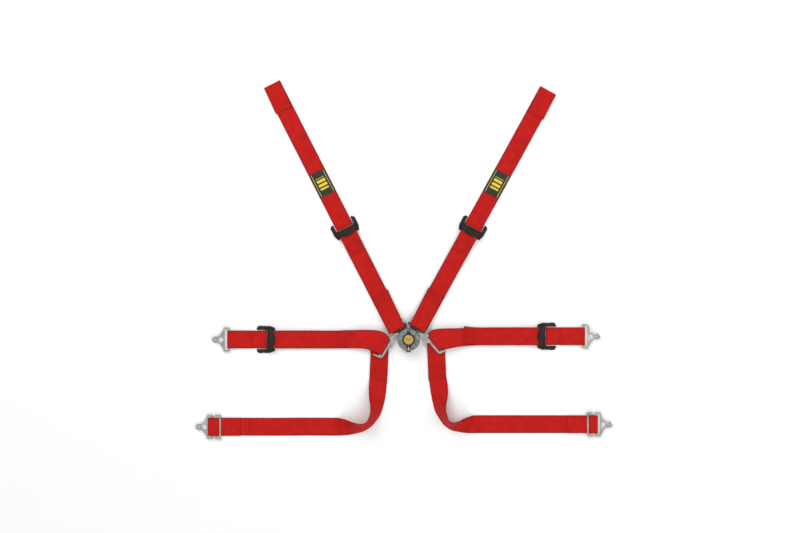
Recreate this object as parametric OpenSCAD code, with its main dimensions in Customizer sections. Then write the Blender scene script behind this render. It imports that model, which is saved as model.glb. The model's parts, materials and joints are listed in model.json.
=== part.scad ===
/* [Webbing] */
// Width of the webbing
web_w = 50; // [46:1:50]
// Thickness of one layer of webbing
web_t = 2.1; // [1.8:0.1:2.1]

/* [Buckle] */
// Diameter of the buckle
buckle_d = 62.6; // [62:0.2:64]
// Height of the turning knob's top face
knob_top = 31; // [30:0.5:32]
// Diameter of the yellow cap in the middle of the knob
cap_d = 27; // [26:1:30]
// Angle of the shoulder tongues from the harness's centre line
shoulder_slot_angle = 35; // [34:1:36]
// Angle of the lap tongues from the harness's centre line
lap_slot_angle = 69; // [68:1:70]

/* [Shoulder straps] */
// Angle of the left shoulder strap from the harness's centre line
left_shoulder_angle = 27; // [26:0.5:29]
// Angle of the right shoulder strap from the harness's centre line
right_shoulder_angle = 28.8; // [27:0.2:30]
// Distance from the tongue's bar to the adjuster's bar
shoulder_adjuster_at = 318; // [300:1:340]
// Distance from the tongue's bar to the top fold of the left strap
left_shoulder_length = 775; // [700:5:800]
// Distance from the tongue's bar to the top fold of the right strap
right_shoulder_length = 762; // [700:2:800]
// Distance from the adjuster's bar to the middle of the label
label_at = 143; // [140:1:160]
// Length of the label along the strap
label_len = 73; // [60:1:80]

/* [Lap straps] */
// Distance from the buckle's centre to the left lap adjuster's bar
left_lap_adjuster_at = 397; // [390:1:400]
// Distance from the buckle's centre to the right lap adjuster's bar
right_lap_adjuster_at = 384; // [380:1:390]
// Distance from the buckle's centre to the left lap strap's outer fold
left_lap_reach = 511; // [505:1:515]
// Distance from the buckle's centre to the right lap strap's outer fold
right_lap_reach = 497; // [490:1:500]

/* [Crotch straps] */
// Distance from the buckle's centre to the left crotch strap's outer fold
left_crotch_reach = 557.7; // [555:0.1:562]
// Distance from the buckle's centre to the right crotch strap's outer fold
right_crotch_reach = 532; // [528:1:536]

/* [End brackets] */
// Radius of the large hole in each end bracket
big_hole_r = 7.75; // [7:0.05:8]
// Radius of the small hole in each end bracket
small_hole_r = 4.2; // [3.5:0.1:4.5]
// Thickness of the end bracket's plate
bracket_t = 3; // [2.5:0.5:3]

/* [Hidden] */
$fn = 48;

LEFT = 0;
RIGHT = 1;
web_red = "red";
steel = "silver";
dark_steel = [0.2, 0.19, 0.18];

// Clearances
gap = 0.3;                        // between pieces that move past each other
fit = 0.05;                       // radial, a bar or shaft in its own hole

// Bars that the webbing folds round
bar_r = 1.5;                      // tongues and crotch links
loop_r = bar_r + gap + web_t;     // outside of the webbing folded round them
end_bar_r = 1.8;                  // end brackets
end_loop_r = end_bar_r + gap + web_t;
frame_bar_r = 2;                  // lower bar of an adjuster
frame_loop_r = frame_bar_r + gap + web_t;
cross_bar_r = 2.75;               // upper bar of an adjuster, over the webbing

// Levels
plate_t = 3;                      // tongues and crotch links
crotch_bar_z = loop_r + 0.05;
tongue_bar_z = crotch_bar_z + 2 * loop_r + 0.35;
blade_low = tongue_bar_z - plate_t / 2;
blade_top = tongue_bar_z + plate_t / 2;
end_bar_z = end_loop_r;
over_tail = web_t + gap;          // underside of what lies over a strap's tail
frame_bar_z = over_tail + frame_loop_r;
cross_bar_z = over_tail + cross_bar_r;

// Buckle
buckle_r = buckle_d / 2;
back_t = 3;
blade_w = 11;
blade_tip_at = 21.5;              // centre of the blade's round tip
pin_at = 22;                      // latch pins' distance from the centre
pin_r = 2.5;
pin_lift = 3.8;
slot_angles = [90 + lap_slot_angle, 90 + shoulder_slot_angle,
               90 - shoulder_slot_angle, 90 - lap_slot_angle];
guide_r = 28.6;
guide_top = blade_top + 0.5;
shoulder_r = 28.2;                // housing's upper part, inside the knob's skirt
housing_step = 16.5;
cam_low = guide_top + 0.3;
cam_top = cam_low + 1.8;
latch_low = cam_top + gap;
latch_top = latch_low + 1.2;
roof_low = latch_top + 6.2;
roof_top = roof_low + 1.4;
post_r = 4;
hub_r = 8;
knob_turn = 30;
ramp_angles = [200, 270, 340];
ramp_at = 21;
latch_in_r = 16.6;
ramp_len = PI * ramp_at * knob_turn / 180;
screw_angles = [90, 210, 330];
screw_at = 24.5;

// Shoulder straps: the tongue's bar, and the strap's direction from it
shoulder_bar = [[-33.4, 28.1], [26.6, 33.5]];
shoulder_dir = [90 + left_shoulder_angle, 90 - right_shoulder_angle];
shoulder_len = [left_shoulder_length, right_shoulder_length];
shoulder_tail = 150;
tongue_sewn = 93;
adjuster_sewn = 70;
top_sewn = 80;
label_t = 0.5;

// Lap straps: the tongue's bar and its direction, and the strap's two long edges near it
lap_bar = [[-66.6, -21.1], [73, -11]];
lap_bar_dir = [59, 130];
lap_y = [-1, 8];
lap_adjuster_x = [-left_lap_adjuster_at, right_lap_adjuster_at];
lap_fold_x = [-left_lap_reach, right_lap_reach];
lap_tail = 140;
anchor_sewn = 66;
lap_low_x = [178, 190];           // where the strap has come down to its tail's level
lap_upper = [[[-55.2, 1.5], [-58.5, 7.5], [-64, 14.5], [-85, 25], [-122, 25.5], [-178, 24]],
             [[57.9, 10.1], [59, 16], [64.5, 24.5], [86, 30.5], [130, 31.5], [190, 33]]];
lap_lower = [[[-80.9, -40.9], [-88, -39.5], [-100, -34], [-111, -30], [-122, -27], [-178, -26]],
             [[90.1, -28.2], [99, -28], [106, -27.5], [114, -26], [130, -22.5], [190, -17]]];
lap_rim_shared = [[24.5, 7.5, 3], [8, 7.5, 3], [-8, 7.6, 3], [-24, 7.4, 2.8],
                  [-29.5, 6.2, 2.6], [-31.6, 0.9, 2.5], [-33.4, -7, 2.2]];
lap_rim = [concat([[35.7, 4.9, 4]], lap_rim_shared, [[-34.6, -18, 1.4]]),
           concat([[32.7, 7.8, 4]], lap_rim_shared, [[-36, -10, 1.4]])];
lap_rise = [1, 1, 1, 1, 1, 0];    // 1 at the tongue's level, 0 at the tail's level

// Crotch straps: the link's bar and the strap's direction, then points of the route
// as [x, y, lean], where lean is how far the strap stands up on its outer edge
crotch_bar = [[-81, -21], [77, -15]];
crotch_dir = [-92.5, -87.5];
crotch_sewn = 100;
crotch_route = [
    [[-85, -110, 0], [-87, -135, 8], [-88, -165, 26], [-89, -186, 44], [-94, -210, 55],
     [-109, -235, 64], [-131, -247, 57], [-158, -249, 40], [-189, -247, 12], [-220, -247, 0],
     [-430, -247, 0]],
    [[81, -105, 0], [85, -130, 4], [87, -155, 20], [87, -178, 42], [90, -201, 54],
     [105, -232, 66], [124, -243, 57], [143, -244, 45], [176, -241, 12], [206, -240, 0],
     [410, -240, 0]]];
crotch_end_y = [-247, -240];
crotch_fold_x = [-left_crotch_reach, right_crotch_reach];
crotch_tail = 80;
crotch_end_len = [135, 125];
rivet_at = [[-44, 7], [46, 9]];
rivet_r = 2.5;
route_steps = 4;

// End bracket, measured outwards from its bar
arm_at = 31.8;
arm_r = 2.4;
big_hole_at = 21.8;
small_hole_at = 38.2;
slot_end = 11.9;
flare_from = 12.5;                // the plate narrows from here, in a hollow curve
flare_to = 28;
neck_half = 8;
tip_r = 8.2;

// Adjuster, measured outwards from its cross bar
pivot = [-6, 9.2];
pivot_r = 1.6;
frame_bar_at = -17;
cheek_in = web_w / 2 + 2;

// Three-bar slide, measured inwards from the bracket's bar
slide_at = 8.5;
slide_len = 17;
slide_bars = [[0, 2.5], [6.1, 2.8], [12.5, 4.5]];   // where each bar starts, its width
slide_low = 2 * web_t + 0.4;
slide_t = 2;

// Helper functions and modules -------------------------------------------------

// A point on a smooth curve through the points p, t running from 0 to len(p) - 1
function curve(p, t) =
    let (i = min(floor(t), len(p) - 2), f = t - i,
         a = p[max(i - 1, 0)], b = p[i], c = p[i + 1], d = p[min(i + 2, len(p) - 1)])
    0.5 * (2 * b + (c - a) * f + (2 * a - 5 * b + 4 * c - d) * f * f
           + (3 * b - a - 3 * c + d) * f * f * f);

// One closed skin through rings that all have the same number of points
module skin(rings) {
    n = len(rings[0]);
    last = len(rings) - 1;
    points = [for (r = rings) for (q = r) q];
    sides = [for (i = [0:last - 1]) for (j = [0:n - 1])
        each let (a = i * n + j, b = i * n + (j + 1) % n) [[a, b, b + n], [a, b + n, a + n]]];
    ends = [[for (j = [n - 1:-1:0]) j], [for (j = [0:n - 1]) last * n + j]];
    polyhedron(points, concat(sides, ends), convexity = 8);
}

// A layer of webbing seen from its edge: its underside is the path
module layer(path, t = web_t) {
    polygon(concat(path, [for (i = [len(path) - 1:-1:0]) path[i] + [0, t]]));
}

// Turns an edge view, drawn in length and height, into webbing of the full width
module across(w) {
    rotate([90, 0, 0]) translate([0, 0, -w / 2]) linear_extrude(w) children();
}

// A round bar across the strap
module bar(at, z, r, length) {
    translate([at, length / 2, z]) rotate([90, 0, 0]) cylinder(r = r, h = length);
}

// The fold of the webbing round a bar, seen from its edge
module eye(at, z, r_out) {
    translate([at, z]) difference() {
        circle(r_out);
        circle(r_out - web_t);
    }
}

module at_shoulder(side) {
    translate(shoulder_bar[side]) rotate(shoulder_dir[side]) children();
}

module at_shoulder_adjuster(side) {
    at_shoulder(side) translate([shoulder_adjuster_at, 0, 0]) children();
}

module at_lap_adjuster(side) {
    translate([lap_adjuster_x[side], lap_y[side], 0])
        rotate(side == LEFT ? 180 : 0) children();
}

module at_lap_end(side) {
    inward = side == LEFT ? end_loop_r : -end_loop_r;
    translate([lap_fold_x[side] + inward, lap_y[side], 0])
        rotate(side == LEFT ? 180 : 0) children();
}

module at_crotch_end(side) {
    inward = side == LEFT ? end_loop_r : -end_loop_r;
    translate([crotch_fold_x[side] + inward, crotch_end_y[side], 0])
        rotate(side == LEFT ? 180 : 0) children();
}

// Buckle ---------------------------------------------------------------------

module screw_places() {
    for (a = screw_angles) rotate(a) translate([screw_at, 0, 0]) children();
}

module back_plate() {
    color("dimgray") difference() {
        cylinder(r = buckle_r, h = back_t);
        screw_places() {
            translate([0, 0, -1]) cylinder(r = 1.5 + fit, h = back_t + 2);
            translate([0, 0, -1]) cylinder(r = 3 + fit, h = 2.4);
        }
    }
}

module back_plate_screws() {
    color(dark_steel) screw_places() {
        difference() {
            cylinder(r = 3, h = 1.35);
            cylinder(r = 1.3, h = 0.8, $fn = 6);
        }
        cylinder(r = 1.5, h = 9);
    }
}

module tongue_guide() {
    color("gray") difference() {
        translate([0, 0, back_t]) cylinder(r = guide_r, h = guide_top - back_t);
        for (a = slot_angles) rotate(a) {
            translate([blade_tip_at, 0, blade_low - gap])
                cylinder(r = blade_w / 2 + gap, h = plate_t + 2 * gap);
            translate([blade_tip_at, -blade_w / 2 - gap, blade_low - gap])
                cube([guide_r, blade_w + 2 * gap, plate_t + 2 * gap]);
            translate([pin_at, 0, blade_low - 1.5]) cylinder(r = pin_r + 0.1, h = 10);
        }
        translate([0, 0, back_t - 1]) cylinder(r = post_r + fit, h = 20);
        screw_places() translate([0, 0, back_t - 1]) cylinder(r = 1.5 + fit, h = 8);
    }
}

module housing() {
    color("dimgray") difference() {
        union() {
            translate([0, 0, back_t]) cylinder(r = buckle_r, h = housing_step - back_t);
            translate([0, 0, back_t]) cylinder(r = shoulder_r, h = roof_top - back_t);
            translate([-6, -buckle_r - 5, back_t]) cube([12, 8, housing_step - back_t - 2]);
        }
        translate([0, 0, back_t - 1]) cylinder(r = guide_r + fit, h = guide_top - back_t + 1.2);
        translate([0, 0, back_t]) cylinder(r = shoulder_r - 2, h = roof_low - back_t);
        translate([0, 0, back_t]) cylinder(r = hub_r + 0.4, h = 30);
        for (a = slot_angles) rotate(a)
            translate([blade_tip_at, -blade_w / 2 - gap, blade_low - gap])
                cube([20, blade_w + 2 * gap, plate_t + 2 * gap]);
    }
}

module centre_post() {
    color(steel) translate([0, 0, back_t]) cylinder(r = post_r, h = roof_top + 1 - back_t);
}

// Flat spiral that turns the knob back
module return_spring() {
    turns = 3;
    steps = 90;
    strip = 0.8;
    function spiral(i) = hub_r + 1.2 + 6 * i / steps;
    function place(i, r) = r * [cos(360 * turns * i / steps), sin(360 * turns * i / steps)];
    color("gold") translate([0, 0, latch_top + 1]) linear_extrude(3.6)
        polygon(concat([for (i = [0:steps]) place(i, spiral(i))],
                       [for (i = [steps:-1:0]) place(i, spiral(i) + strip)]));
}

module cam_plate() {
    pair_from = [90 - lap_slot_angle - knob_turn, 90 + shoulder_slot_angle - knob_turn];
    pair_span = lap_slot_angle - shoulder_slot_angle + knob_turn;
    slack = 9;
    color("darkgray") difference() {
        union() {
            translate([0, 0, cam_low]) cylinder(r = shoulder_r - 2.5, h = cam_top - cam_low);
            translate([0, 0, cam_low]) cylinder(r = hub_r, h = knob_top - 3 - cam_low);
            for (a = ramp_angles) rotate(a) translate([ramp_at - 1.5, 0, cam_top - 0.5])
                rotate([90, 0, 90]) linear_extrude(3)
                    polygon([[0, 0], [0, 0.45], [-ramp_len, 0.35 + pin_lift], [-ramp_len, 0]]);
        }
        translate([0, 0, cam_low - 1]) cylinder(r = post_r + fit, h = 40);
        for (from = pair_from) translate([0, 0, cam_low - 1]) linear_extrude(4)
            intersection() {
                difference() {
                    circle(pin_at + pin_r + 0.4);
                    circle(pin_at - pin_r - 0.4);
                }
                polygon([[0, 0], each [for (k = [0:4])
                    40 * [cos(from - slack + (pair_span + 2 * slack) * k / 4),
                          sin(from - slack + (pair_span + 2 * slack) * k / 4)]]]);
            }
    }
}

// Ring with the four pins that hold the tongues
module latch_plate() {
    color(steel) {
        difference() {
            translate([0, 0, latch_low]) cylinder(r = shoulder_r - 2.5, h = 1.2);
            translate([0, 0, latch_low - 1]) cylinder(r = latch_in_r, h = 4);
            for (a = ramp_angles) rotate(a)
                translate([ramp_at - 2.4, -ramp_len - 1.2, latch_low - 1])
                    cube([12, ramp_len + 1.4, 4]);
        }
        for (a = slot_angles) rotate(a) translate([pin_at, 0, 0]) {
            translate([0, 0, blade_low - 0.3]) cylinder(r = pin_r, h = latch_low - blade_low + 0.9);
            translate([0, 0, latch_low]) cylinder(r = 1.1, h = latch_top - latch_low + 2);
        }
    }
}

module latch_springs() {
    turns = 3;
    steps = 27;
    coil_r = 2;
    wire_r = 0.35;
    height = roof_low - latch_top - 2 * wire_r - 0.1;
    function ring(i) = [for (k = [0:5])
        let (turn = 360 * turns * i / steps, r = coil_r + wire_r * cos(60 * k))
        [r * cos(turn), r * sin(turn), height * i / steps + wire_r * sin(60 * k)]];
    color("gold") for (a = slot_angles) rotate(a)
        translate([pin_at, 0, latch_top + wire_r + 0.05])
            mirror([0, 1, 0]) skin([for (i = [0:steps]) ring(i)]);
}

module knob() {
    groove_r = 1.6;
    color(steel) difference() {
        union() {
            translate([0, 0, housing_step + 0.5])
                cylinder(r = buckle_r, h = knob_top - 2 - housing_step - 0.5);
            translate([0, 0, knob_top - 2]) cylinder(r1 = buckle_r, r2 = buckle_r - 2, h = 2);
        }
        translate([0, 0, housing_step]) cylinder(r = shoulder_r + 0.5, h = roof_top + 0.5 - housing_step);
        translate([0, 0, housing_step]) cylinder(r = hub_r + fit, h = 30);
        translate([0, 0, knob_top - 2]) cylinder(r = 18 + fit, h = 10);
        translate([0, 25, knob_top - 2.5]) cylinder(r = 1.8 + fit, h = 10);
        for (s = [-1, 1]) rotate(s * 13)
            translate([0, -18, knob_top - 0.6]) rotate([90, 0, 0])
                cylinder(r = groove_r, h = 20);
        translate([-3.1, -29.1, knob_top - 1.2]) cube([6.2, 9.2, 5]);
        translate([0, 0, knob_top - 0.6]) linear_extrude(2)
            polygon([[-5.5, 17], [5.5, 17], [2.8, 28.6], [-2.8, 28.6]]);
    }
}

module knob_bezel() {
    color([0.06, 0.06, 0.06]) difference() {
        translate([0, 0, knob_top - 2]) cylinder(r = 18, h = 2.8);
        translate([0, 0, knob_top - 1]) cylinder(r = cap_d / 2 + fit, h = 10);
        translate([0, 0, knob_top - 4]) cylinder(r = hub_r + fit, h = 10);
    }
}

module centre_cap() {
    color([0.85, 0.68, 0.15]) {
        translate([0, 0, knob_top - 1]) cylinder(r = cap_d / 2, h = 2);
        translate([0, 0, knob_top + 1]) cylinder(r1 = cap_d / 2, r2 = cap_d / 2 - 1, h = 0.6);
    }
}

module indicator_rivet() {
    color("white") translate([0, 25, knob_top - 2.5]) {
        cylinder(r = 1.8, h = 2.5);
        translate([0, 0, 2.5]) cylinder(r1 = 1.8, r2 = 1.2, h = 0.5);
    }
}

module pointer_insert() {
    color("lightgray") translate([0, 0, knob_top - 1.2]) linear_extrude(1.5)
        polygon([[-1.2, -20], [1.2, -20], [3, -29], [-3, -29]]);
}

// Tongues --------------------------------------------------------------------

// The part of a tongue that goes into the buckle
module blade(angle, reach) {
    rotate(angle) {
        translate([blade_tip_at, 0]) circle(blade_w / 2);
        translate([blade_tip_at, -blade_w / 2]) square([reach - blade_tip_at, blade_w]);
    }
}

module latch_hole(angle) {
    rotate(angle) translate([pin_at, 0, blade_low - 1]) cylinder(r = pin_r + 0.1, h = plate_t + 2);
}

// Slotted plate of a shoulder tongue; lap is the side of its bar that the lap tongue lies on
module shoulder_plate_2d(lap) {
    arm = 18;
    ear_at = 27.8;
    ear_r = 3;
    rim = -5.8;
    rim_r = 1.5;
    root = -8.2;
    difference() {
        union() {
            for (s = [-1, 1]) hull() for (x = [-2, arm]) translate([x, s * ear_at]) circle(ear_r);
            hull() {
                translate([-2, -lap * ear_at]) circle(ear_r);
                for (y = [4, 16]) translate([root, -lap * y]) circle(3.5);
            }
            hull() for (y = [-4, 24.5]) translate([rim, lap * y]) circle(rim_r);
            hull() {
                translate([rim, lap * 24.5]) circle(rim_r);
                translate([-2, lap * ear_at]) circle(ear_r);
            }
        }
        translate([-loop_r - 0.4, -web_w / 2 - 0.4]) square([loop_r + arm + 10, web_w + 0.8]);
    }
}

module shoulder_tongue(side) {
    angle = slot_angles[side == LEFT ? 1 : 2];
    color(steel) difference() {
        union() {
            translate([0, 0, blade_low]) linear_extrude(plate_t) {
                blade(angle, buckle_r + 2);
                translate(shoulder_bar[side]) rotate(shoulder_dir[side])
                    shoulder_plate_2d(side == LEFT ? 1 : -1);
            }
            at_shoulder(side) bar(0, tongue_bar_z, bar_r, web_w + 7);
        }
        latch_hole(angle);
        translate([0, 0, blade_low - 1]) linear_extrude(plate_t + 2)
            difference() {
                circle(buckle_r + 1.4);
                blade(angle, 40);
            }
    }
}

module at_lap_bar(side) {
    translate(lap_bar[side]) rotate(lap_bar_dir[side] + (side == LEFT ? 90 : -90)) children();
}

// A lap tongue's curved rim, through points [along the bar, inwards, half its width]
module lap_rim_2d(rim) {
    steps = 3;
    function edge(t, way) =
        let (here = curve(rim, t), ahead = curve(rim, min(t + 0.05, len(rim) - 1)),
             behind = curve(rim, max(t - 0.05, 0)),
             run = [ahead[0] - behind[0], ahead[1] - behind[1]],
             half = way * here[2] / norm(run))
        [-here[1] - half * run[0], here[0] - half * run[1]];
    last = (len(rim) - 1) * steps;
    polygon(concat([for (i = [0:last]) edge(i / steps, 1)],
                   [for (i = [last:-1:0]) edge(i / steps, -1)]));
}

module lap_tongue(side) {
    angle = slot_angles[side == LEFT ? 0 : 3];
    elbow = side == LEFT ? [-39, 10.5] : [40, 11.5];
    color(steel) difference() {
        union() {
            translate([0, 0, blade_low]) linear_extrude(plate_t) {
                blade(angle, buckle_r + 4);
                hull() {
                    translate(elbow) circle(5);
                    rotate(angle) translate([buckle_r + 2, 0]) circle(blade_w / 2);
                }
                hull() {
                    translate(elbow) circle(5);
                    translate(rivet_at[side]) circle(5);
                }
                hull() {
                    translate(rivet_at[side]) circle(5);
                    at_lap_bar(side) translate([0, side == LEFT ? -30 : 30]) circle(2.6);
                }
                at_lap_bar(side) mirror([0, side == LEFT ? 1 : 0]) lap_rim_2d(lap_rim[side]);
            }
            at_lap_bar(side) bar(0, tongue_bar_z, bar_r, web_w + 12);
        }
        latch_hole(angle);
        translate(concat(rivet_at[side], blade_low - 1))
            cylinder(r = rivet_r + 0.02, h = plate_t + 2);
    }
}

// Shoulder straps --------------------------------------------------------------

module shoulder_lower_strap(side) {
    far = shoulder_adjuster_at + frame_bar_at;
    doubled = over_tail + web_t;
    color(web_red) at_shoulder(side) across(web_w) {
        eye(0, tongue_bar_z, loop_r);
        eye(far, frame_bar_z, frame_loop_r);
        layer([[0, tongue_bar_z + loop_r - web_t], [20, 10], [75, doubled], [tongue_sewn, doubled],
               [tongue_sewn + 15, over_tail], [far - adjuster_sewn - 15, over_tail],
               [far - adjuster_sewn, doubled], [far - 22, doubled],
               [far, frame_bar_z + frame_loop_r - web_t]]);
        layer([[0, tongue_bar_z - loop_r], [75, over_tail], [tongue_sewn, over_tail]]);
        layer([[far - adjuster_sewn, over_tail], [far, over_tail]]);
    }
}

module shoulder_upper_strap(side) {
    top = shoulder_len[side];
    color(web_red) at_shoulder(side) across(web_w) {
        layer([[shoulder_adjuster_at - shoulder_tail, 0], [top - web_t, 0]]);
        layer([[top - top_sewn, web_t], [top - web_t, web_t]]);
        translate([top - web_t, web_t]) circle(web_t);
    }
}

module shoulder_label(side) {
    color([0.08, 0.07, 0.07]) at_shoulder_adjuster(side)
        translate([label_at - label_len / 2, -web_w / 2, web_t]) cube([label_len, web_w, label_t]);
}

// Adjusters --------------------------------------------------------------------

module adjuster_frame(reach) {
    wall = 2.2;
    wall_top = pivot[1] + 3;
    tooth_r = 2;
    color(dark_steel) difference() {
        union() {
            for (s = [-1, 1]) {
                translate([0, 0, 0.2]) linear_extrude(2) difference() {
                    hull() {
                        translate([-17, s * (cheek_in + 3.5)]) circle(3.5);
                        translate([-4, s * (cheek_in + 7)]) circle(4.5);
                        translate([reach - 8, s * (cheek_in + 6)]) circle(5.5);
                        translate([reach - 3, s * (cheek_in + 3)]) circle(3);
                    }
                    for (k = [0:4]) translate([-7 + 5 * k, s * (cheek_in + 12.2)]) circle(tooth_r);
                }
                translate([-21, s * (cheek_in + wall / 2) - wall / 2, 0.2])
                    cube([26, wall, wall_top - 0.2]);
            }
            bar(frame_bar_at, frame_bar_z, frame_bar_r, 2 * cheek_in + 1);
        }
        bar(0, cross_bar_z, cross_bar_r + fit, 80);
        for (s = [-1, 1]) translate([pivot[0], s * (cheek_in + 1), pivot[1]]) rotate([90, 0, 0])
            cylinder(r = pivot_r + fit, h = 6, center = true);
    }
}

module adjuster_bar() {
    color([0.55, 0.5, 0.46]) bar(0, cross_bar_z, cross_bar_r, 2 * cheek_in + 5);
}

// Lever: curved thumb plate, a nose that grips the webbing, and two pivot stubs
module adjuster_lever() {
    plate_low = frame_bar_z + frame_loop_r + gap;
    half = cheek_in - 0.4;
    nose = 3;
    color(dark_steel) {
        translate([0, 0, plate_low]) linear_extrude(2) intersection() {
            translate([-3.5 - 40, -half]) square([40, 2 * half]);
            translate([19, 0]) circle(42, $fn = 120);
        }
        translate([pivot[0] - nose / 2, -web_w / 2, over_tail + 0.2])
            cube([nose, web_w, plate_low - over_tail]);
        for (s = [-1, 1]) {
            translate([pivot[0], s * (cheek_in - 0.4), pivot[1]]) rotate([90, 0, 0])
                cylinder(r = pivot_r, h = 5, center = true);
            translate([pivot[0] - nose / 2, s * (half - 2.2) - 2.2, pivot[1] - 1.6])
                cube([nose, 4.4, plate_low - pivot[1] + 1.8]);
        }
    }
}

// Lap straps -------------------------------------------------------------------

module lap_inner_strap(side) {
    up = lap_upper[side];
    down = lap_lower[side];
    thick = 2 * web_t;
    function low(i) = over_tail + lap_rise[i] * (tongue_bar_z - web_t - over_tail);
    function section(p, q, z, t) = [[p[0], p[1], z], [p[0], p[1], z + t],
                                    [q[0], q[1], z + t], [q[0], q[1], z]];
    function lap_ring(i) = side == LEFT ? section(up[i], down[i], low(i), thick)
                                        : section(down[i], up[i], low(i), thick);
    from = lap_low_x[side];
    to = abs(lap_adjuster_x[side]);
    fix = to + frame_bar_at;
    color(web_red) {
        at_lap_bar(side) across(web_w) eye(0, tongue_bar_z, loop_r);
        skin([for (i = [0:len(up) - 1]) lap_ring(i)]);
        translate([0, lap_y[side], 0]) rotate(side == LEFT ? 180 : 0) across(web_w) {
            eye(fix, frame_bar_z, frame_loop_r);
            layer([[from - 2, over_tail], [fix, over_tail]]);
            layer([[from - 2, over_tail + web_t], [fix - 22, over_tail + web_t],
                   [fix, frame_bar_z + frame_loop_r - web_t]]);
        }
    }
}

module lap_anchor_strap(side) {
    bar_at = abs(lap_fold_x[side]) - end_loop_r;
    tail_at = abs(lap_adjuster_x[side]) - lap_tail;
    color(web_red) at_lap_end(side) across(web_w) {
        eye(0, end_bar_z, end_loop_r);
        layer([[tail_at - bar_at, 0], [0, 0]]);
        layer([[-anchor_sewn, web_t], [-20, web_t], [0, end_bar_z + end_loop_r - web_t]]);
    }
}

// End bracket: its bar lies in the webbing's fold, its holes take the anchor bolt
module end_bracket() {
    steps = 8;
    flare = concat([[slot_end - 1, arm_at + arm_r]],
        [for (i = [0:steps]) [flare_from + (flare_to - flare_from) * i / steps,
            neck_half + (arm_at - neck_half) * pow(1 - i / steps, 1.25)]],
        [[small_hole_at, neck_half]]);
    color(steel) difference() {
        union() {
            translate([0, 0, end_bar_z - bracket_t / 2]) linear_extrude(bracket_t) difference() {
                union() {
                    for (s = [-1, 1]) hull() {
                        translate([-1, s * arm_at]) circle(arm_r);
                        translate([slot_end, s * arm_at]) circle(arm_r);
                    }
                    polygon(concat([for (w = flare) w], [for (i = [len(flare) - 1:-1:0])
                        [flare[i][0], -flare[i][1]]]));
                    translate([big_hole_at, 0]) circle(big_hole_r + 4);
                    translate([small_hole_at, 0]) circle(tip_r);
                }
                translate([-6, -web_w / 2 - 4.4]) square([slot_end + 6, web_w + 8.8]);
            }
            bar(0, end_bar_z, end_bar_r, web_w + 12);
        }
        translate([big_hole_at, 0, 0]) cylinder(r = big_hole_r, h = 20);
        translate([small_hole_at, 0, 0]) cylinder(r = small_hole_r, h = 20);
    }
}

// Crotch straps ------------------------------------------------------------------

module crotch_link(side) {
    c = crotch_bar[side];
    lean = crotch_dir[side] + 90;
    mid_z = crotch_bar_z - plate_t / 2;
    color(steel) difference() {
        union() {
            translate([0, 0, mid_z]) linear_extrude(plate_t) difference() {
                hull() {
                    translate(c) rotate(lean) for (s = [-1, 1]) translate([s * 30, 0]) circle(3.5);
                    translate(rivet_at[side]) circle(6);
                }
                translate(c) rotate(lean) translate([-web_w / 2 - 1.5, -10])
                    square([web_w + 3, 10 + loop_r + 0.8]);
            }
            translate([c[0], c[1], crotch_bar_z]) rotate([0, 0, lean]) rotate([0, 90, 0])
                translate([0, 0, -29]) cylinder(r = bar_r, h = 58);
        }
        translate(rivet_at[side]) cylinder(r = rivet_r + 0.06, h = 20);
    }
}

module crotch_rivet(side) {
    link_low = crotch_bar_z - plate_t / 2;
    link_top = crotch_bar_z + plate_t / 2;
    color("gray") translate(rivet_at[side]) {
        translate([0, 0, link_low - 1.8]) cylinder(r = 4.2, h = 1.5);
        translate([0, 0, link_low - 0.4]) cylinder(r = rivet_r, h = blade_top - link_low + 0.6);
        translate([0, 0, link_top + 0.3]) cylinder(r = 3.8, h = blade_low - link_top - 0.35);
        translate([0, 0, blade_top + 0.05]) cylinder(r1 = 4.2, r2 = 3, h = 1.5);
    }
}

// Rings of a strap that follows its route and leans up on its outer edge
function route_rings(route, turn) =
    let (last = (len(route) - 1) * route_steps)
    [for (i = [0:last])
        let (t = i / route_steps, here = curve(route, t),
             ahead = curve(route, min(t + 0.05, len(route) - 1)),
             behind = curve(route, max(t - 0.05, 0)),
             along = [ahead[0] - behind[0], ahead[1] - behind[1]],
             unit = along / norm(along),
             inner = turn * [unit[1], -unit[0]],
             lean = max(here[2], 0),
             half = web_w / 2 * [cos(lean) * inner[0], cos(lean) * inner[1], sin(lean)],
             up = web_t / 2 * [-sin(lean) * inner[0], -sin(lean) * inner[1], cos(lean)],
             mid = [here[0], here[1], abs(half[2]) + abs(up[2]) + 0.05],
             face = -turn * up)
        [mid - half - face, mid - half + face, mid + half + face, mid + half - face]];

module crotch_strap(side) {
    over_slide = slide_low + slide_t + 0.2;
    rings = route_rings(crotch_route[side], side == LEFT ? 1 : -1);
    color(web_red) {
        translate(crotch_bar[side]) rotate(crotch_dir[side]) across(web_w) {
            eye(0, crotch_bar_z, loop_r);
            layer([[0, 0.05], [crotch_sewn, 0.05]]);
            layer([[0, crotch_bar_z + loop_r - web_t], [20, web_t + 0.05],
                   [crotch_sewn, web_t + 0.05]]);
        }
        skin(rings);
        at_crotch_end(side) mirror([1, 0, 0]) across(web_w) {
            eye(0, end_bar_z, end_loop_r);
            layer([[0, 0], [crotch_end_len[side], 0]]);
            layer([[0, end_bar_z + end_loop_r - web_t], [slide_at - 2, over_slide],
                   [slide_at + 9.5, over_slide], [slide_at + 12.45, web_t],
                   [crotch_tail, web_t]]);
        }
    }
}

module crotch_slide() {
    rail_out = arm_at + 3;
    color(steel) mirror([1, 0, 0]) translate([slide_at, 0, slide_low]) linear_extrude(slide_t)
        difference() {
            hull() for (x = [4, slide_len - 4]) for (s = [-1, 1])
                translate([x, s * (rail_out - 4)]) circle(4);
            for (i = [0, 1]) let (from = slide_bars[i][0] + slide_bars[i][1])
                translate([from, -web_w / 2 - 1.5])
                    square([slide_bars[i + 1][0] - from, web_w + 3]);
        }
}

// Every node ---------------------------------------------------------------------

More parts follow.
